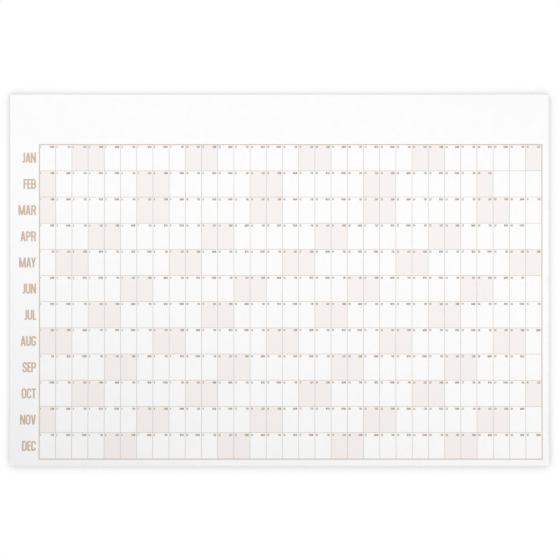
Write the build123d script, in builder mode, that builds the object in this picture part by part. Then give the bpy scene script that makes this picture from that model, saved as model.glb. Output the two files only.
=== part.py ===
from build123d import *
import calendar
import os
from datetime import date

# A year planner for the wall: one large sheet of paper with a row of days for every month.
# The sheet hangs in the XZ plane. Its blank back lies on the wall at y = 0, with the origin in
# the middle, and its printed front faces -Y. All sizes are in millimetres.

# Sheet of paper
sheet_width = 740.0
sheet_height = 510.0
paper_thickness = 0.25

# Bare borders, from the sheet's edges to the middle of the frame line
header_height = 68.7
label_column = 39.8
edge_margin = 9.1

# Print, as thin films of ink that lie on the front of the sheet
ink_thickness = 0.05
frame_width = 1.2
rule_width = 0.5

# The year sets the rows, the columns and the weekends
new_year = date(2026, 1, 1)

month_lengths = [calendar.monthrange(new_year.year, month)[1] for month in range(1, 13)]
month_rows = len(month_lengths)
day_columns = max(month_lengths)

grid_width = sheet_width - label_column - edge_margin
grid_height = sheet_height - header_height - edge_margin
day_width = grid_width / day_columns
month_height = grid_height / month_rows

# Printing plane: on the front of the sheet, centred on the grid, x to the right and y upwards
grid_middle_x = (label_column - edge_margin) / 2
grid_middle_z = (edge_margin - header_height) / 2
print_plane = Plane(
    origin=(grid_middle_x, -paper_thickness, grid_middle_z),
    x_dir=(1, 0, 0),
    z_dir=(0, -1, 0),
)

# Clear field inside the frame line
field_width = grid_width - frame_width
field_height = grid_height - frame_width


def cell_middle(month, day):
    """Middle of a day's cell on the printing plane, with January in the top row."""
    across = (day - (day_columns + 1) / 2) * day_width
    up = ((month_rows + 1) / 2 - month) * month_height
    return across, up


def weekend_cells():
    """Cell middles of every Saturday and Sunday of the year."""
    first_weekday = new_year.weekday()
    days_before = 0
    middles = []
    for month, length in enumerate(month_lengths, start=1):
        for day in range(1, length + 1):
            weekday = (first_weekday + days_before + day - 1) % 7
            if weekday >= calendar.SATURDAY:
                middles.append(cell_middle(month, day))
        days_before += length
    return middles


def rule_bars(mode):
    """Lines between the days and between the months, added to the sketch or cut from it."""
    with GridLocations(day_width, month_height, day_columns - 1, 1):
        Rectangle(rule_width, field_height, mode=mode)
    with GridLocations(day_width, month_height, 1, month_rows - 1):
        Rectangle(field_width, rule_width, mode=mode)


# The sheet, cut square, with its back on the wall
with BuildPart() as calendar_sheet:
    with BuildSketch(Plane.XZ):
        Rectangle(sheet_width, sheet_height)
    extrude(amount=paper_thickness)
calendar_sheet.part.label = "calendar_sheet"

# The heavier line round the grid
with BuildPart() as grid_frame:
    with BuildSketch(print_plane):
        Rectangle(grid_width + frame_width, grid_height + frame_width)
        Rectangle(field_width, field_height, mode=Mode.SUBTRACT)
    extrude(amount=ink_thickness)
grid_frame.part.label = "grid_frame"

# The fine lines, one lattice that ends on the frame
with BuildPart() as day_rules:
    with BuildSketch(print_plane):
        rule_bars(Mode.ADD)
    extrude(amount=ink_thickness)
day_rules.part.label = "day_rules"

# The tinted weekend fields, each cut back to the lines round its cell
with BuildPart() as weekend_tints:
    with BuildSketch(print_plane):
        with Locations(*weekend_cells()):
            Rectangle(day_width, month_height)
        rule_bars(Mode.SUBTRACT)
        Rectangle(field_width, field_height, mode=Mode.INTERSECT)
    extrude(amount=ink_thickness)
weekend_tints.part.label = "weekend_tints"

os.makedirs("parts", exist_ok=True)
export_step(calendar_sheet.part, "parts/calendar_sheet.step")
export_step(grid_frame.part, "parts/grid_frame.step")
export_step(day_rules.part, "parts/day_rules.step")
export_step(weekend_tints.part, "parts/weekend_tints.step")
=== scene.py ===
import calendar
import math

import bmesh
import bpy
from mathutils import Matrix, Vector
from mathutils.geometry import delaunay_2d_cdt


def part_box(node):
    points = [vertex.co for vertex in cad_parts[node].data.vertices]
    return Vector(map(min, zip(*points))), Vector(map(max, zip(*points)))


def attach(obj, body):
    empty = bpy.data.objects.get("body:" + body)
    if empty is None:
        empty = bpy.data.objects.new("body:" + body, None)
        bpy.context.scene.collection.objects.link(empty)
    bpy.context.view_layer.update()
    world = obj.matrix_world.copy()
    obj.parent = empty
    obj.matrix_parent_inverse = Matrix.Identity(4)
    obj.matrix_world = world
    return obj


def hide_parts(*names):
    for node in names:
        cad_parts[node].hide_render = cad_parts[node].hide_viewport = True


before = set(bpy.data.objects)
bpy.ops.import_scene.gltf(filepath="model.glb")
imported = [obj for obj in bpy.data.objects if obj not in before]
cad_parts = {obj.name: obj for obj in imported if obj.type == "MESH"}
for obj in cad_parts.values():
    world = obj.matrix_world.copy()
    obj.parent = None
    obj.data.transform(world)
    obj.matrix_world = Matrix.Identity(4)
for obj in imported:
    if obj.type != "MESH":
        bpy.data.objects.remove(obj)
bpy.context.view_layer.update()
mm = 0.001
weldDistance = 0.001 * mm  # points this close are one

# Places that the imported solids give, in metres: x to the right, z up, the front of the sheet towards -y
sheetLow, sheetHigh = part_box("calendar_sheet")
frameLow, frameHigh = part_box("grid_frame")
fieldLow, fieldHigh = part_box("day_rules")
paperThickness = sheetHigh.y - sheetLow.y
paperFront = sheetLow.y
inkThickness = frameHigh.y - frameLow.y
frameWidth = fieldLow.x - frameLow.x
gridLeft, gridRight = (frameLow.x + fieldLow.x) / 2, (frameHigh.x + fieldHigh.x) / 2
gridBottom, gridTop = (frameLow.z + fieldLow.z) / 2, (frameHigh.z + fieldHigh.z) / 2

# The year sets the rows, the columns and the weekday of every day
year = 2026
monthNames = ["JAN", "FEB", "MAR", "APR", "MAY", "JUN", "JUL", "AUG", "SEP", "OCT", "NOV", "DEC"]
weekdayNames = ["MON", "TUE", "WED", "THUR", "FRI", "SAT", "SUN"]
monthStarts = [calendar.monthrange(year, month)[0] for month in range(1, 13)]  # weekday of the 1st
monthLengths = [calendar.monthrange(year, month)[1] for month in range(1, 13)]
rows, columns = len(monthLengths), max(monthLengths)
dayWidth = (gridRight - gridLeft) / columns
monthHeight = (gridTop - gridBottom) / rows


def linear(hexColour):  # sRGB hex to the linear colour that shaders take
    parts = [int(hexColour[i:i + 2], 16) / 255 for i in (1, 3, 5)]
    return [p / 12.92 if p <= 0.04045 else ((p + 0.055) / 1.055) ** 2.4 for p in parts] + [1.0]


def addNode(tree, kind, inputs=None, **settings):  # an input is a value, or another node's output to link
    node = tree.nodes.new(kind)
    for name, value in settings.items():
        setattr(node, name, value)
    for name, value in (inputs or {}).items():
        if isinstance(value, bpy.types.NodeSocket):
            tree.links.new(value, node.inputs[name])
        else:
            node.inputs[name].default_value = value
    return node


def newTree(name, sockets):  # a geometry tree with a geometry in and out, and named inputs for its sizes
    tree = bpy.data.node_groups.new(name, "GeometryNodeTree")
    tree.interface.new_socket("Geometry", in_out="INPUT", socket_type="NodeSocketGeometry")
    for label, kind in sockets.items():
        tree.interface.new_socket(label, in_out="INPUT", socket_type="NodeSocket" + kind)
    tree.interface.new_socket("Geometry", in_out="OUTPUT", socket_type="NodeSocketGeometry")
    return tree, addNode(tree, "NodeGroupInput").outputs


def runTree(piece, tree, values):  # runs the tree on a piece and leaves the result as its plain mesh
    modifier = piece.modifiers.new(tree.name, "NODES")
    modifier.node_group = tree
    for item in tree.interface.items_tree:
        if item.in_out == "INPUT" and item.name in values:
            modifier[item.identifier] = values[item.name]
    bpy.context.view_layer.update()
    evaluated = piece.evaluated_get(bpy.context.evaluated_depsgraph_get())
    mesh = bpy.data.meshes.new_from_object(evaluated)
    mesh.name = piece.name
    mesh.materials.pop(index=0)  # the empty slot that comes before the material that the tree sets
    piece.modifiers.clear()
    piece.data = mesh
    return piece


def newPiece(name, mesh):
    piece = bpy.data.objects.new(name, mesh)
    bpy.context.scene.collection.objects.link(piece)
    return piece


# Paper form: hung paper lies on the wall in the middle, and its borders stand off a little
paperForm = {
    "Reach": 200 * mm,       # width of the border that lifts
    "Curl": 2.0,             # more keeps the border flat for longer
    "Lift Left": 2.4 * mm,
    "Lift Right": 3.0 * mm,
    "Lift Bottom": 4.6 * mm,
    "Lift Top": 2.0 * mm,
    "Ripple": 0.5 * mm,      # slow waves left from the roll
    "Ripple Length": 240 * mm,
    "Half Width": (sheetHigh.x - sheetLow.x) / 2,
    "Half Height": (sheetHigh.z - sheetLow.z) / 2,
}


def makePaperFormTree():
    tree, given = newTree("paper form", {name: "Float" for name in paperForm})
    place = addNode(tree, "ShaderNodeSeparateXYZ", {0: addNode(tree, "GeometryNodeInputPosition").outputs[0]})
    lifts = {"X": 0.0, "Z": 0.0}
    for side, axis, half, sign in (
        ("Lift Left", "X", "Half Width", 1),
        ("Lift Right", "X", "Half Width", -1),
        ("Lift Bottom", "Z", "Half Height", 1),
        ("Lift Top", "Z", "Half Height", -1),
    ):
        inwards = addNode(tree, "ShaderNodeMath", {0: place.outputs[axis], 1: sign, 2: given[half]},
                          operation="MULTIPLY_ADD")  # distance from that edge
        bend = addNode(tree, "ShaderNodeMapRange",
                       {"Value": inwards.outputs[0], "From Min": given["Reach"], "From Max": 0.0})
        curl = addNode(tree, "ShaderNodeMath", {0: bend.outputs[0], 1: given["Curl"]}, operation="POWER")
        lifts[axis] = addNode(tree, "ShaderNodeMath", {0: curl.outputs[0], 1: given[side], 2: lifts[axis]},
                              operation="MULTIPLY_ADD").outputs[0]
    # Both ways together: the corners rise a little more than the edges
    both = addNode(tree, "ShaderNodeCombineXYZ", {"X": lifts["X"], "Z": lifts["Z"]})
    lift = addNode(tree, "ShaderNodeVectorMath", {0: both.outputs[0]}, operation="LENGTH")
    onSheet = addNode(tree, "ShaderNodeCombineXYZ", {"X": place.outputs["X"], "Z": place.outputs["Z"]})
    finer = addNode(tree, "ShaderNodeMath", {0: 1.0, 1: given["Ripple Length"]}, operation="DIVIDE")
    wave = addNode(tree, "ShaderNodeTexNoise",
                   {"Vector": onSheet.outputs[0], "Scale": finer.outputs[0], "Detail": 1.0, "Roughness": 0.4})
    forward = addNode(tree, "ShaderNodeMath", operation="MULTIPLY_ADD", inputs={
        0: wave.outputs[0], 1: given["Ripple"], 2: lift.outputs["Value"]})
    toFront = addNode(tree, "ShaderNodeMath", {0: forward.outputs[0], 1: -1.0}, operation="MULTIPLY")
    moved = addNode(tree, "GeometryNodeSetPosition", {
        "Geometry": given["Geometry"],
        "Offset": addNode(tree, "ShaderNodeCombineXYZ", {"Y": toFront.outputs[0]}).outputs[0],
    })
    addNode(tree, "NodeGroupOutput", {"Geometry": moved.outputs[0]})
    return tree


paperFormTree = makePaperFormTree()


def inked(tree, faces, thickness):  # flat faces to a closed film that stands on the paper
    away = addNode(tree, "ShaderNodeMath", {0: thickness, 1: -1.0}, operation="MULTIPLY")
    raised = addNode(tree, "GeometryNodeExtrudeMesh", {
        "Mesh": faces,
        "Offset": addNode(tree, "ShaderNodeCombineXYZ", {"Y": away.outputs[0]}).outputs[0],
        "Offset Scale": 1.0,
        "Individual": False,
    })
    under = addNode(tree, "GeometryNodeFlipFaces", {"Mesh": faces})
    both = addNode(tree, "GeometryNodeJoinGeometry")
    tree.links.new(raised.outputs["Mesh"], both.inputs[0])
    tree.links.new(under.outputs[0], both.inputs[0])
    closed = addNode(tree, "GeometryNodeMergeByDistance",
                     {"Geometry": both.outputs[0], "Distance": weldDistance})
    return closed.outputs[0]


def finishTree(tree, geometry, material):  # the last steps of every tree: bent as the paper is, and coloured
    bent = addNode(tree, "GeometryNodeGroup", {"Geometry": geometry, **paperForm}, node_tree=paperFormTree)
    real = addNode(tree, "GeometryNodeRealizeInstances", {"Geometry": bent.outputs[0]})
    painted = addNode(tree, "GeometryNodeSetMaterial", {"Geometry": real.outputs[0], "Material": material})
    addNode(tree, "NodeGroupOutput", {"Geometry": painted.outputs[0]})


# Uncoated offset paper: white, matt, slightly cloudy, with fibres that only show close up
uncoatedPaper = {
    "colour": "#F8F8F8", "shade": "#F3F3F3",
    "cloud": 14 * mm, "cloudFrom": 0.35, "cloudTo": 0.75,
    "fibre": 0.9 * mm, "fibreFrom": 0.45, "fibreTo": 0.8,   # finer in truth, and this coarse to show at all
    "depth": 0.4,                                           # how far each of the two goes to the shade
    "roughness": 0.82, "uneven": 0.06, "bump": 0.02 * mm, "bumpStrength": 0.5, "specular": 0.3,
}
# Offset inks on that paper: they sink in, so they stay matt and the fibres speckle them
inkSurface = {
    "speck": 1.2 * mm, "thinFrom": 0.42, "thinTo": 0.72,   # range of the specks that thin the ink
    "roughness": 0.72, "smoother": 0.05, "rougher": 0.08, "specular": 0.3,
}
offsetInks = {
    "tan offset ink": {**inkSurface, "colour": "#C7B29D", "thin": "#CEBBA8"},
    "light tan offset ink": {**inkSurface, "colour": "#C4B29C", "thin": "#CBBBA7"},
    "grey tan offset ink": {**inkSurface, "colour": "#B9AD98", "thin": "#C0B5A2"},
    "brown offset ink": {**inkSurface, "colour": "#978066", "thin": "#A08A72"},
    "beige offset tint": {**inkSurface, "colour": "#F1ECE9", "thin": "#F4EFED",
                          "speck": 1.0 * mm, "roughness": 0.8},
}


def newMaterial(name):
    material = bpy.data.materials.new(name)
    material.use_nodes = True
    tree = material.node_tree
    return material, tree, tree.nodes["Principled BSDF"]


def makePaperMaterial(given):
    material, tree, surface = newMaterial("uncoated paper")
    place = addNode(tree, "ShaderNodeTexCoord").outputs["Object"]
    cloud = addNode(tree, "ShaderNodeTexNoise",
                    {"Vector": place, "Scale": 1 / given["cloud"], "Detail": 3.0, "Roughness": 0.55})
    fibre = addNode(tree, "ShaderNodeTexNoise",
                    {"Vector": place, "Scale": 1 / given["fibre"], "Detail": 2.0, "Roughness": 0.6})
    blotch = addNode(tree, "ShaderNodeMapRange",
                     {"Value": cloud.outputs[0], "From Min": given["cloudFrom"],
                      "From Max": given["cloudTo"], "To Max": given["depth"]})
    thread = addNode(tree, "ShaderNodeMapRange",
                     {"Value": fibre.outputs[0], "From Min": given["fibreFrom"],
                      "From Max": given["fibreTo"], "To Max": given["depth"]})
    depth = addNode(tree, "ShaderNodeMath", {0: blotch.outputs[0], 1: thread.outputs[0]}, use_clamp=True)
    tone = addNode(tree, "ShaderNodeMix", data_type="RGBA", inputs={  # sockets 6 and 7 are its two colours
        0: depth.outputs[0], 6: linear(given["colour"]), 7: linear(given["shade"])})
    dull = addNode(tree, "ShaderNodeMapRange", {
        "Value": fibre.outputs[0], "To Min": given["roughness"] - given["uneven"],
        "To Max": given["roughness"] + given["uneven"]})
    tooth = addNode(tree, "ShaderNodeBump", {
        "Height": fibre.outputs[0], "Distance": given["bump"], "Strength": given["bumpStrength"]})
    tree.links.new(tone.outputs[2], surface.inputs["Base Color"])
    tree.links.new(dull.outputs[0], surface.inputs["Roughness"])
    tree.links.new(tooth.outputs[0], surface.inputs["Normal"])
    surface.inputs["Specular IOR Level"].default_value = given["specular"]
    return material


def makeInkMaterial(name, given):
    material, tree, surface = newMaterial(name)
    place = addNode(tree, "ShaderNodeTexCoord").outputs["Object"]
    speck = addNode(tree, "ShaderNodeTexNoise",
                    {"Vector": place, "Scale": 1 / given["speck"], "Detail": 3.0, "Roughness": 0.65})
    worn = addNode(tree, "ShaderNodeMapRange", {
        "Value": speck.outputs[0], "From Min": given["thinFrom"], "From Max": given["thinTo"]})
    tone = addNode(tree, "ShaderNodeMix", data_type="RGBA", inputs={
        0: worn.outputs[0], 6: linear(given["colour"]), 7: linear(given["thin"])})
    dull = addNode(tree, "ShaderNodeMapRange", {
        "Value": speck.outputs[0], "To Min": given["roughness"] - given["smoother"],
        "To Max": given["roughness"] + given["rougher"]})
    tree.links.new(tone.outputs[2], surface.inputs["Base Color"])
    tree.links.new(dull.outputs[0], surface.inputs["Roughness"])
    surface.inputs["Specular IOR Level"].default_value = given["specular"]
    return material


paperMaterial = makePaperMaterial(uncoatedPaper)
inkMaterials = {name: makeInkMaterial(name, given) for name, given in offsetInks.items()}
print("materials:", 1 + len(inkMaterials))

# The sheet: a closed thin box with enough points to bend
sheetSettings = {"Point Spacing": 5 * mm}


def makeSheet():
    sizes = ("Width", "Thickness", "Height", "Point Spacing")
    tree, given = newTree("paper sheet", {**dict.fromkeys(sizes, "Float"), "Material": "Material"})
    points = []
    for size in ("Width", "Height"):
        steps = addNode(tree, "ShaderNodeMath", {0: given[size], 1: given["Point Spacing"]},
                        operation="DIVIDE")
        points.append(addNode(tree, "FunctionNodeFloatToInt", {0: steps.outputs[0]}).outputs[0])
    size = addNode(tree, "ShaderNodeCombineXYZ",
                   {"X": given["Width"], "Y": given["Thickness"], "Z": given["Height"]})
    slab = addNode(tree, "GeometryNodeMeshCube", {
        "Size": size.outputs[0], "Vertices X": points[0], "Vertices Y": 2, "Vertices Z": points[1]})
    toWall = addNode(tree, "ShaderNodeMath", {0: given["Thickness"], 1: -0.5}, operation="MULTIPLY")
    hung = addNode(tree, "GeometryNodeSetPosition", {
        "Geometry": slab.outputs["Mesh"],
        "Offset": addNode(tree, "ShaderNodeCombineXYZ", {"Y": toWall.outputs[0]}).outputs[0],
    })
    finishTree(tree, hung.outputs[0], given["Material"])
    sheet = newPiece("paper_sheet", bpy.data.meshes.new("paper_sheet"))
    return runTree(sheet, tree, {
        "Width": sheetHigh.x - sheetLow.x,
        "Thickness": paperThickness,
        "Height": sheetHigh.z - sheetLow.z,
        "Material": paperMaterial,
        **sheetSettings,
    })


paperSheet = makeSheet()
print("sheet:", len(paperSheet.data.polygons), "faces")

# The printed grid: one net of faces that holds the frame, the rules and the weekend fields edge to edge
gridSettings = {"Rule Width": 0.5 * mm, "Steps Across": 3, "Steps Up": 5}
frameKind, ruleKind, weekendKind = 0, 1, 2


def makeLineTree():  # where the net's lines lie along one way: two at every rule, and steps inside a cell
    tree = bpy.data.node_groups.new("grid lines", "GeometryNodeTree")
    for name in ("Line", "Steps", "Start", "Pitch", "Cells", "Rule Width", "Frame Width"):
        tree.interface.new_socket(name, in_out="INPUT", socket_type="NodeSocketFloat")
    for name in ("Place", "Cell"):
        tree.interface.new_socket(name, in_out="OUTPUT", socket_type="NodeSocketFloat")
    given = addNode(tree, "NodeGroupInput").outputs

    known = {socket.name: socket for socket in given}
    for name, operation, *inputs in (  # each input is a number, a given size or an earlier step
        ("lines", "ADD", "Steps", 2.0),  # lines in one cell
        ("index", "SUBTRACT", "Line", 1.0),  # the first line of all is the frame's outer edge
        ("run", "DIVIDE", "index", "lines"),
        ("cell", "FLOOR", "run"),
        ("step", "FLOORED_MODULO", "index", "lines"),
        ("last step", "SUBTRACT", "lines", 1.0),
        ("share", "DIVIDE", "step", "last step"),
        ("half rule", "MULTIPLY", "Rule Width", 0.5),
        ("half frame", "MULTIPLY", "Frame Width", 0.5),
        ("finish", "MULTIPLY_ADD", "Cells", "Pitch", "Start"),
        ("cell start", "MULTIPLY_ADD", "cell", "Pitch", "Start"),
        ("cell finish", "ADD", "cell start", "Pitch"),
        ("past rule", "ADD", "cell start", "half rule"),
        ("past frame", "ADD", "Start", "half frame"),
        ("low", "MAXIMUM", "past rule", "past frame"),
        ("short of rule", "SUBTRACT", "cell finish", "half rule"),
        ("short of frame", "SUBTRACT", "finish", "half frame"),
        ("high", "MINIMUM", "short of rule", "short of frame"),
        ("room", "SUBTRACT", "high", "low"),
        ("in cell", "MULTIPLY_ADD", "room", "share", "low"),
        ("last cell", "SUBTRACT", "Cells", 0.5),
        ("after", "GREATER_THAN", "cell", "last cell"),
        ("before", "LESS_THAN", "cell", 0.0),
        ("outwards", "SUBTRACT", "after", "before"),
        ("wider", "SUBTRACT", "half frame", "half rule"),
        ("place", "MULTIPLY_ADD", "outwards", "wider", "in cell"),
    ):
        values = {i: known.get(value, value) for i, value in enumerate(inputs)}
        known[name] = addNode(tree, "ShaderNodeMath", values, operation=operation).outputs[0]
    addNode(tree, "NodeGroupOutput", {"Place": known["place"], "Cell": known["cell"]})
    return tree


def makeGridTree(lineTree):
    sizes = {"Rule Width": "Float", "Frame Width": "Float", "Ink Thickness": "Float", "Day Width": "Float",
             "Month Height": "Float", "Kind": "Int", "Material": "Material"}
    tree, given = newTree("printed grid", sizes)
    acrossLines = columns * (gridSettings["Steps Across"] + 2) + 2
    upLines = rows * (gridSettings["Steps Up"] + 2) + 2
    net = addNode(tree, "GeometryNodeMeshGrid", {
        "Size X": acrossLines - 1, "Size Y": upLines - 1, "Vertices X": acrossLines, "Vertices Y": upLines})
    spot = addNode(tree, "ShaderNodeSeparateXYZ", {0: addNode(tree, "GeometryNodeInputPosition").outputs[0]})
    ways = []
    for axis, count, steps, start, pitch, cells in (
        ("X", acrossLines, "Steps Across", gridLeft, "Day Width", columns),
        ("Y", upLines, "Steps Up", gridBottom, "Month Height", rows),
    ):
        line = addNode(tree, "ShaderNodeMath", {0: spot.outputs[axis], 1: (count - 1) / 2})
        whole = addNode(tree, "ShaderNodeMath", {0: line.outputs[0]}, operation="ROUND")
        ways.append(addNode(tree, "GeometryNodeGroup", node_tree=lineTree, inputs={
            "Line": whole.outputs[0], "Steps": gridSettings[steps], "Start": start, "Pitch": given[pitch],
            "Cells": cells, "Rule Width": given["Rule Width"], "Frame Width": given["Frame Width"]}))
    cellOf = addNode(tree, "GeometryNodeCaptureAttribute", {"Geometry": net.outputs["Mesh"]})
    for way, name in zip(ways, ("Day", "Row")):
        cellOf.capture_items.new("FLOAT", name)
        tree.links.new(way.outputs["Cell"], cellOf.inputs[name])
    laid = addNode(tree, "GeometryNodeSetPosition", {
        "Geometry": cellOf.outputs["Geometry"],
        "Position": addNode(tree, "ShaderNodeCombineXYZ", {
            "X": ways[0].outputs["Place"], "Y": paperFront, "Z": ways[1].outputs["Place"]}).outputs[0],
    })

    month = addNode(tree, "ShaderNodeMath", {0: rows - 1, 1: cellOf.outputs["Row"]}, operation="SUBTRACT")
    monthIndex = addNode(tree, "FunctionNodeFloatToInt", {0: month.outputs[0]})
    known = {"Day": cellOf.outputs["Day"], "Row": cellOf.outputs["Row"]}
    for fact in ("start", "length"):
        attribute = addNode(tree, "GeometryNodeInputNamedAttribute", {"Name": fact}, data_type="FLOAT")
        sample = addNode(tree, "GeometryNodeSampleIndex", data_type="FLOAT", domain="POINT", inputs={
            "Geometry": given["Geometry"], "Index": monthIndex.outputs[0], "Value": attribute.outputs[0]})
        known[fact] = sample.outputs[0]
    # On a face the captured cell is a mean: whole inside a cell, and a half on a line between two
    for name, operation, *inputs in (
        ("in columns", "COMPARE", "Day", (columns - 1) / 2, columns / 2 - 0.25),
        ("in rows", "COMPARE", "Row", (rows - 1) / 2, rows / 2 - 0.25),
        ("inside", "MULTIPLY", "in columns", "in rows"),
        ("frame", "SUBTRACT", 1.0, "inside"),
        ("day part", "FRACT", "Day"),
        ("row part", "FRACT", "Row"),
        ("between days", "COMPARE", "day part", 0.5, 0.25),
        ("between months", "COMPARE", "row part", 0.5, 0.25),
        ("on a line", "MAXIMUM", "between days", "between months"),
        ("rules", "MULTIPLY", "inside", "on a line"),
        ("cells", "SUBTRACT", "inside", "rules"),
        ("day count", "ADD", "start", "Day"),
        ("weekday", "FLOORED_MODULO", "day count", 7.0),
        ("free day", "GREATER_THAN", "weekday", calendar.FRIDAY + 0.5),
        ("month end", "SUBTRACT", "length", 0.5),
        ("in month", "LESS_THAN", "Day", "month end"),
        ("free in month", "MULTIPLY", "free day", "in month"),
        ("weekends", "MULTIPLY", "cells", "free in month"),
    ):
        values = {i: known.get(value, value) for i, value in enumerate(inputs)}
        known[name] = addNode(tree, "ShaderNodeMath", values, operation=operation).outputs[0]
    keep = addNode(tree, "GeometryNodeIndexSwitch", {"Index": given["Kind"]}, data_type="FLOAT")
    keep.index_switch_items.new()
    for kind, mask in ((frameKind, "frame"), (ruleKind, "rules"), (weekendKind, "weekends")):
        tree.links.new(known[mask], keep.inputs[kind + 1])
    drop = addNode(tree, "ShaderNodeMath", {0: keep.outputs[0], 1: 0.5}, operation="LESS_THAN")
    kept = addNode(tree, "GeometryNodeDeleteGeometry", domain="FACE", inputs={
        "Geometry": laid.outputs[0], "Selection": drop.outputs[0]})
    film = inked(tree, kept.outputs[0], given["Ink Thickness"])
    finishTree(tree, film, given["Material"])
    return tree


def makeMonthPoints(name):  # one point for each month, with its first weekday and its length
    mesh = bpy.data.meshes.new(name)
    mesh.from_pydata([(0, 0, month) for month in range(rows)], [], [])
    for fact, values in (("start", monthStarts), ("length", monthLengths)):
        mesh.attributes.new(fact, "FLOAT", "POINT").data.foreach_set("value", [float(v) for v in values])
    return mesh


gridTree = makeGridTree(makeLineTree())
printPieces = {}
for name, kind, ink in (
    ("grid_frame_print", frameKind, "light tan offset ink"),
    ("day_rules_print", ruleKind, "grey tan offset ink"),
    ("weekend_tints_print", weekendKind, "beige offset tint"),
):
    printPieces[name] = runTree(newPiece(name, makeMonthPoints(name)), gridTree, {
        "Rule Width": gridSettings["Rule Width"],
        "Frame Width": frameWidth,
        "Ink Thickness": inkThickness,
        "Day Width": dayWidth,
        "Month Height": monthHeight,
        "Kind": kind,
        "Material": inkMaterials[ink],
    })
    print(name + ":", len(printPieces[name].data.polygons), "faces")

# Block letters: condensed strokes of one weight, drawn along their middle lines. Units are cap heights
letterWidths = {
    "A": 0.51, "B": 0.49, "C": 0.46, "D": 0.49, "E": 0.345, "F": 0.335, "G": 0.47, "H": 0.51, "I": 0.18,
    "J": 0.27, "L": 0.33, "M": 0.67, "N": 0.52, "O": 0.475, "P": 0.47, "R": 0.49, "S": 0.46, "T": 0.42,
    "U": 0.475, "V": 0.5, "W": 0.8, "Y": 0.5, "0": 0.53, "1": 0.28, "2": 0.47, "3": 0.47, "4": 0.52,
    "5": 0.47, "6": 0.53, "7": 0.44, "8": 0.53, "9": 0.53,
}
pairGaps = {"AN": -0.025, "AY": -0.07, "AT": -0.05}  # closer than the rest
samePoint, joinWithin = 1e-6, 1e-5                   # how close points are one, and lines are joined
flatAngle = math.radians(0.5)                        # edges that turn less are dissolved


def roundedPath(corners, bend, turnSteps):  # a line through the corners, each rounded by an arc
    closed = corners[0] == corners[-1]
    corners = [Vector(c) for c in (corners[:-1] if closed else corners)]
    path = [] if closed else [corners[0]]
    count = len(corners)
    for i in range(0 if closed else 1, count if closed else count - 1):
        before, corner, after = corners[i - 1], corners[i], corners[(i + 1) % count]
        into, out = corner - before, after - corner
        turn = into.angle_signed(out)  # positive clockwise
        reach = min(bend * math.tan(abs(turn) / 2), into.length / 2, out.length / 2)
        radius = reach / math.tan(abs(turn) / 2)
        start = corner - into.normalized() * reach
        side = Vector((into.y, -into.x)).normalized() * math.copysign(radius, turn)
        steps = max(1, round(turnSteps * abs(turn) / (math.pi / 2)))
        for k in range(steps + 1):
            point = start + side - Matrix.Rotation(-turn * k / steps, 2) @ side
            if not path or (point - path[-1]).length > samePoint:
                path.append(point)
    if closed and (path[0] - path[-1]).length < samePoint:
        path.pop()
    if not closed and (corners[-1] - path[-1]).length > samePoint:
        path.append(corners[-1])
    return path, closed


def ribbon(path, closed, weight):  # a band of one weight along a path, as four-sided faces
    count = len(path)
    rails = []
    for i, point in enumerate(path):
        into = path[i] - path[i - 1] if closed or i else path[1] - path[0]
        out = path[(i + 1) % count] - path[i] if closed or i < count - 1 else into
        across = Vector((-into.y, into.x)).normalized() + Vector((-out.y, out.x)).normalized()
        across *= weight / across.length_squared
        rails.append((point + across, point - across))
    pairs = zip(rails, rails[1:] + rails[:1]) if closed else zip(rails, rails[1:])
    return [[a[0], a[1], b[1], b[0]] for a, b in pairs]


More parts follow.
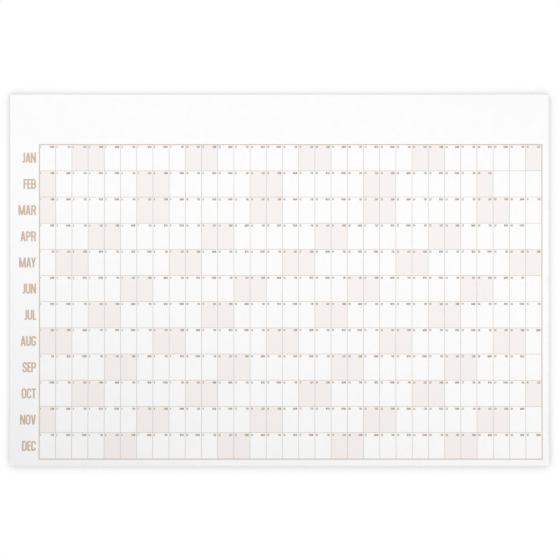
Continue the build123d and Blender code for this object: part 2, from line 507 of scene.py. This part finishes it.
def letterFaces(letter, weight, turnSteps):  # overlapping faces that together make the letter
    width, stroke = letterWidths[letter], weight
    left, right, low, high, middle = stroke / 2, width - stroke / 2, stroke / 2, 1 - stroke / 2, 0.5
    bend = (right - left) / 2
    faces = []

    def bar(x0, z0, x1, z1):
        faces.append([Vector(p) for p in ((x0, z0), (x1, z0), (x1, z1), (x0, z1))])

    def slant(x0, z0, x1, z1):  # a leaning stroke, cut level at both ends
        half = stroke / 2 * math.hypot(x1 - x0, z1 - z0) / abs(z1 - z0)
        ends = (x0 - half, z0), (x0 + half, z0), (x1 + half, z1), (x1 - half, z1)
        faces.append([Vector(p) for p in ends])

    def curve(corners, radius=bend):
        faces.extend(ribbon(*roundedPath(corners, radius, turnSteps), stroke))

    def bowl(x, z0, z1):  # a round side on a stem, from z0 up to z1
        curve([(left, z1), (x, z1), (x, z0), (left, z0)], min((z1 - z0) / 2, x - left))

    if letter in "BDEFHILMNPR":
        bar(0, 0, stroke, 1)
    if letter in "HMN":
        bar(width - stroke, 0, width, 1)
    if letter in "EF":
        bar(0, 1 - stroke, width, 1)
        bar(0, middle - 0.42 * stroke, width * 0.93, middle + 0.5 * stroke)
    if letter in "EL":
        bar(0, 0, width, stroke)
    if letter == "A":
        lean = stroke * 0.52
        slant(lean, 0, width / 2 - 0.1 * stroke, 1)
        slant(width - lean, 0, width / 2 + 0.1 * stroke, 1)
        bar(width * 0.25, 0.19, width * 0.75, 0.19 + 0.85 * stroke)
    elif letter == "B":
        bowl(right - 0.02, middle, high)
        bowl(right, low, middle)
    elif letter == "C":
        curve([(right, 0.68), (right, high), (left, high), (left, low), (right, low), (right, 0.32)])
    elif letter == "D":
        curve([(left, high), (right, high), (right, low), (left, low)], 1.15 * bend)
    elif letter == "G":
        curve([(right, 0.7), (right, high), (left, high), (left, low), (right, low), (right, 0.5)])
        bar(width * 0.52, 0.5 - 0.85 * stroke, width, 0.5)
    elif letter == "H":
        bar(0, middle - stroke / 2, width, middle + stroke / 2)
    elif letter == "J":
        curve([(right, 1), (right, low), (0, low)], 1.2 * stroke)
    elif letter == "M":
        slant(width / 2, 0, stroke * 0.56, 1)
        slant(width / 2, 0, width - stroke * 0.56, 1)
    elif letter == "N":
        slant(width - stroke * 0.58, 0, stroke * 0.58, 1)
    elif letter in "O0":
        curve([(left, low), (left, high), (right, high), (right, low), (left, low)])
    elif letter == "P":
        bowl(right, 0.46, high)
    elif letter == "R":
        bowl(right, 0.48, high)
        slant(width - stroke * 0.54, 0, width - stroke * 0.95, 0.5)
    elif letter == "S":
        curve([(right, 0.7), (right, high), (left, high), (left, 0.6), (right, 0.4), (right, low),
               (left, low), (left, 0.3)])
    elif letter == "T":
        bar(0, 1 - stroke, width, 1)
        bar(width / 2 - stroke / 2, 0, width / 2 + stroke / 2, 1)
    elif letter == "U":
        curve([(left, 1), (left, low), (right, low), (right, 1)])
    elif letter == "V":
        slant(width / 2 - 0.08 * stroke, 0, stroke * 0.52, 1)
        slant(width / 2 + 0.08 * stroke, 0, width - stroke * 0.52, 1)
    elif letter == "W":
        foot, tip = 0.29, stroke * 0.52
        slant(foot, 0, tip, 1)
        slant(foot, 0, width / 2, 1)
        slant(width - foot, 0, width / 2, 1)
        slant(width - foot, 0, width - tip, 1)
    elif letter == "Y":
        slant(width / 2, 0.38, stroke * 0.54, 1)
        slant(width / 2, 0.38, width - stroke * 0.54, 1)
        bar(width / 2 - stroke / 2, 0, width / 2 + stroke / 2, 0.42)
    elif letter == "1":
        bar(width - stroke, 0, width, 1)
        curve([(0.02, 0.74), (right, 0.93)])
    elif letter == "2":
        curve([(left, 0.7), (left, high), (right, high), (right, 0.56), (left, stroke)])
        bar(0, 0, width, stroke)
    elif letter == "3":
        curve([(left, 0.72), (left, high), (right, high), (right, middle), (width * 0.4, middle)])
        curve([(width * 0.4, middle), (right, middle), (right, low), (left, low), (left, 0.28)])
    elif letter == "4":
        slant(stroke * 0.6, 0.25, width * 0.6, 1)
        bar(0, 0.2, width, 0.2 + stroke)
        bar(width * 0.62 - stroke / 2, 0, width * 0.62 + stroke / 2, 0.62)
    elif letter == "5":
        bar(0, 1 - stroke, width * 0.94, 1)
        bar(0, 0.5, stroke, 1)
        curve([(left, 0.6), (right, 0.6), (right, low), (left, low), (left, 0.28)])
    elif letter == "6":
        curve([(left, low), (left, 0.58), (right, 0.58), (right, low), (left, low)])
        slant(stroke * 0.52, 0.36, width * 0.66, 1)
    elif letter == "7":
        bar(0, 1 - stroke, width, 1)
        slant(width * 0.34, 0, width - stroke * 0.55, 1)
    elif letter == "8":
        curve([(left, middle), (left, high), (right, high), (right, middle), (left, middle)])
        curve([(left, low), (left, middle), (right, middle), (right, low), (left, low)])
    elif letter == "9":
        curve([(left, 0.42), (left, high), (right, high), (right, 0.42), (left, 0.42)])
        slant(width * 0.34, 0, width - stroke * 0.52, 0.64)
    return faces


def areaOf(face):
    return sum(a.x * b.y - b.x * a.y for a, b in zip(face, face[1:] + face[:1])) / 2


def letterOutline(letter, weight, turnSteps):  # the union of a letter's faces, as points and triangles
    points, corners = [], []
    for face in letterFaces(letter, weight, turnSteps):
        face = face if areaOf(face) > 0 else face[::-1]
        corners.append(list(range(len(points), len(points) + len(face))))
        points.extend(face)
    insideOnly, keepOwners = 1, True
    found = delaunay_2d_cdt(points, [], corners, insideOnly, joinWithin, keepOwners)
    return found[0], [face for face, owners in zip(found[2], found[5]) if owners]


def makeWord(word, given, cache):  # a flat word that starts at the origin, and its width
    weight, height = given["weight"], given["height"]
    shape = bmesh.new()
    across = 0.0
    for place, letter in enumerate(word):
        if letter not in cache:
            cache[letter] = letterOutline(letter, weight, given["turnSteps"])
        points, triangles = cache[letter]
        made = [shape.verts.new(((across + p.x) * height, 0, p.y * height)) for p in points]
        for triangle in triangles:
            shape.faces.new([made[k] for k in triangle])
        across += letterWidths[letter] + given["gap"] + pairGaps.get(word[place:place + 2], 0)
    loose = [v for v in shape.verts if not v.link_faces]
    bmesh.ops.delete(shape, geom=loose, context="VERTS")
    bmesh.ops.dissolve_limit(shape, angle_limit=flatAngle, verts=shape.verts, edges=shape.edges)
    bmesh.ops.recalc_face_normals(shape, faces=shape.faces)
    if shape.faces and sum(f.normal.y * f.calc_area() for f in shape.faces) > 0:
        bmesh.ops.reverse_faces(shape, faces=shape.faces)
    mesh = bpy.data.meshes.new(word)
    shape.to_mesh(mesh)
    shape.free()
    return mesh, (across - given["gap"]) * height


def makeLabelTree():  # a word on every point, raised as ink and laid on the paper
    sizes = {"Words": "Collection", "Ink Thickness": "Float", "Material": "Material"}
    tree, given = newTree("printed words", sizes)
    words = addNode(tree, "GeometryNodeCollectionInfo",
                    {"Collection": given["Words"], "Separate Children": True})
    pick = addNode(tree, "GeometryNodeInputNamedAttribute", {"Name": "pick"}, data_type="INT")
    placed = addNode(tree, "GeometryNodeInstanceOnPoints", {
        "Points": given["Geometry"], "Instance": words.outputs[0], "Pick Instance": True,
        "Instance Index": pick.outputs[0]})
    real = addNode(tree, "GeometryNodeRealizeInstances", {"Geometry": placed.outputs[0]})
    film = inked(tree, real.outputs[0], given["Ink Thickness"])
    finishTree(tree, film, given["Material"])
    return tree


labelTree = makeLabelTree()


def printWords(name, words, given, places, ink):  # a place is a word number, x, the surface's y, and z
    shelf = bpy.data.collections.new(name)
    bpy.context.scene.collection.children.link(shelf)
    cache, widths, samples = {}, [], []
    for number, word in enumerate(words):
        mesh, width = makeWord(word, given, cache)
        sample = bpy.data.objects.new(f"{name}_{number:02d}", mesh)  # the shelf is read in name order
        shelf.objects.link(sample)
        samples.append(sample)
        widths.append(width)
    mesh = bpy.data.meshes.new(name)
    rightOf = given["align"] == "right"
    mesh.from_pydata([(x - (widths[n] if rightOf else 0), y, z) for n, x, y, z in places], [], [])
    mesh.attributes.new("pick", "INT", "POINT").data.foreach_set("value", [n for n, x, y, z in places])
    piece = runTree(newPiece(name, mesh), labelTree, {
        "Words": shelf, "Ink Thickness": inkThickness, "Material": inkMaterials[ink]})
    for sample in samples:
        bpy.data.meshes.remove(sample.data)
    bpy.data.collections.remove(shelf)
    print(name + ":", len(piece.data.polygons), "faces")
    return piece


# Words and numbers, with their sizes as measured against the grid
monthLettering = {"height": 13.8 * mm, "weight": 0.155, "gap": 0.035, "turnSteps": 8, "align": "right",
                  "fromFrame": 4.7 * mm}
weekdayLettering = {"height": 2.95 * mm, "weight": 0.185, "gap": 0.09, "turnSteps": 3, "align": "right",
                    "fromRule": 2.05 * mm, "belowRule": 3.1 * mm}
numberLettering = {"height": 2.9 * mm, "weight": 0.195, "gap": 0.1, "turnSteps": 3, "align": "left",
                   "fromRule": 1.4 * mm, "belowRule": 3.1 * mm}

monthPlaces, weekdayPlaces, numberPlaces = [], [], []
for month in range(rows):
    rowTop = gridTop - month * monthHeight
    monthPlaces.append((month, gridLeft - monthLettering["fromFrame"], paperFront,
                        rowTop - monthHeight / 2 - monthLettering["height"] / 2))
    for day in range(monthLengths[month]):
        cellLeft = gridLeft + day * dayWidth
        weekday = (monthStarts[month] + day) % 7
        surface = paperFront - inkThickness if weekday >= calendar.SATURDAY else paperFront
        weekdayPlaces.append((weekday, cellLeft + dayWidth - weekdayLettering["fromRule"], surface,
                              rowTop - weekdayLettering["belowRule"] - weekdayLettering["height"] / 2))
        numberPlaces.append((day, cellLeft + numberLettering["fromRule"], surface,
                             rowTop - numberLettering["belowRule"] - numberLettering["height"] / 2))
numbers = [str(day) for day in range(1, columns + 1)]
for name, words, lettering, places, ink in (
    ("month_names", monthNames, monthLettering, monthPlaces, "tan offset ink"),
    ("weekday_names", weekdayNames, weekdayLettering, weekdayPlaces, "brown offset ink"),
    ("day_numbers", numbers, numberLettering, numberPlaces, "brown offset ink"),
):
    printPieces[name] = printWords(name, words, lettering, places, ink)

# Smooth shading, bodies, and the replaced nodes hidden
sharpAngle = math.radians(30)
for piece in (paperSheet, *printPieces.values()):
    piece.data.shade_smooth()
    piece.data.set_sharp_from_angle(angle=sharpAngle)
    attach(piece, "root")
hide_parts("calendar_sheet")
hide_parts("grid_frame")
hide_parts("day_rules")
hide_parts("weekend_tints")
print("pieces:", 1 + len(printPieces))

# Stage: a white wall behind the sheet, seen only from the front
wallSettings = {
    "size": 4.0, "behind": 0.6 * mm,
    "shadow": 0.205, "shadowReach": 18 * mm, "shadowSamples": 24,
    "full": 0.8, "none": 0.985,   # how open the wall is where the shadow is full, and where it ends
}


def lookedAt(tree):  # 1 for rays that look at a thing, 0 for rays that carry its light
    ray = addNode(tree, "ShaderNodeLightPath").outputs
    seen = ray["Is Camera Ray"]
    for kind in ("Is Glossy Ray", "Is Transmission Ray"):
        seen = addNode(tree, "ShaderNodeMath", {0: seen, 1: ray[kind]}, operation="MAXIMUM").outputs[0]
    return seen


def makeWall(given):
    half, back = given["size"] / 2, sheetHigh.y + given["behind"]
    mesh = bpy.data.meshes.new("wall")
    corners = [(-half, back, -half), (half, back, -half), (half, back, half), (-half, back, half)]
    mesh.from_pydata(corners, [], [(0, 1, 2, 3)])
    wall = newPiece("wall", mesh)
    material, tree, surface = newMaterial("white wall")
    nearby = addNode(tree, "ShaderNodeAmbientOcclusion", {"Distance": given["shadowReach"]},
                     samples=given["shadowSamples"])
    shadow = addNode(tree, "ShaderNodeMapRange", {
        "Value": nearby.outputs["AO"], "From Min": given["full"], "From Max": given["none"],
        "To Min": 1 - given["shadow"]})
    white = addNode(tree, "ShaderNodeEmission", {"Color": linear("#FFFFFF"), "Strength": shadow.outputs[0]})
    surface.inputs["Base Color"].default_value = linear("#E6E6E6")
    front = addNode(tree, "ShaderNodeMixShader",
                    {0: lookedAt(tree), 1: surface.outputs[0], 2: white.outputs[0]})
    clear = addNode(tree, "ShaderNodeBsdfTransparent")
    behind = addNode(tree, "ShaderNodeNewGeometry").outputs["Backfacing"]
    oneSided = addNode(tree, "ShaderNodeMixShader", {0: behind, 1: front.outputs[0], 2: clear.outputs[0]})
    tree.links.new(oneSided.outputs[0], tree.nodes["Material Output"].inputs["Surface"])
    mesh.materials.append(material)
    wall.visible_shadow = False    # lamps reach the back of the sheet through it
    wall.visible_diffuse = False   # and its own white lights nothing


makeWall(wallSettings)

# Light: an even pale room, a wide lamp in front of the upper rows, and one behind for views of the back
lightSettings = {
    "ambient": 0.437,
    "key": {"place": (0.07, -1.0, 0.2), "size": (3.5, 0.7), "slant": -0.27, "power": 15.4},
    "rear": {"place": (-0.6, 2.4, 1.2), "size": (1.6, 1.6), "slant": 0.0, "power": 45.0},
}


def makeLamp(name, given):
    lamp = bpy.data.lights.new(name, "AREA")
    lamp.energy, lamp.shape = given["power"], "RECTANGLE"
    lamp.size, lamp.size_y = given["size"]
    holder = bpy.data.objects.new(name, lamp)
    bpy.context.scene.collection.objects.link(holder)
    holder.location = given["place"]
    turn = (-Vector(given["place"])).to_track_quat("-Z", "Y").to_euler()  # faces the middle of the sheet
    turn.rotate_axis("Z", given["slant"])
    holder.rotation_euler = turn


def makeWorld(strength):
    world = bpy.data.worlds.new("pale room")
    world.use_nodes = True
    tree = world.node_tree
    level = addNode(tree, "ShaderNodeMapRange", {"Value": lookedAt(tree), "To Min": strength})
    tree.links.new(level.outputs[0], tree.nodes["Background"].inputs["Strength"])
    tree.nodes["Background"].inputs["Color"].default_value = linear("#FFFFFF")
    bpy.context.scene.world = world


makeLamp("key lamp", lightSettings["key"])
makeLamp("rear lamp", lightSettings["rear"])
makeWorld(lightSettings["ambient"])

# Camera: square on to the sheet, as the photograph was taken
cameraSettings = {"lens": 85.0, "sensor": 36.0, "fieldWidth": 0.7712, "aside": 0.8 * mm, "above": 0.1 * mm}


def makeCamera(given):
    camera = bpy.data.cameras.new("camera")
    camera.lens, camera.sensor_width = given["lens"], given["sensor"]
    holder = bpy.data.objects.new("camera", camera)
    bpy.context.scene.collection.objects.link(holder)
    away = given["fieldWidth"] * given["lens"] / given["sensor"]
    holder.location = (given["aside"], paperFront - away, given["above"])
    holder.rotation_euler = (math.pi / 2, 0, 0)
    bpy.context.scene.camera = holder


makeCamera(cameraSettings)
bpy.context.scene.view_settings.view_transform = "Standard"
print("stage, light and camera are set")
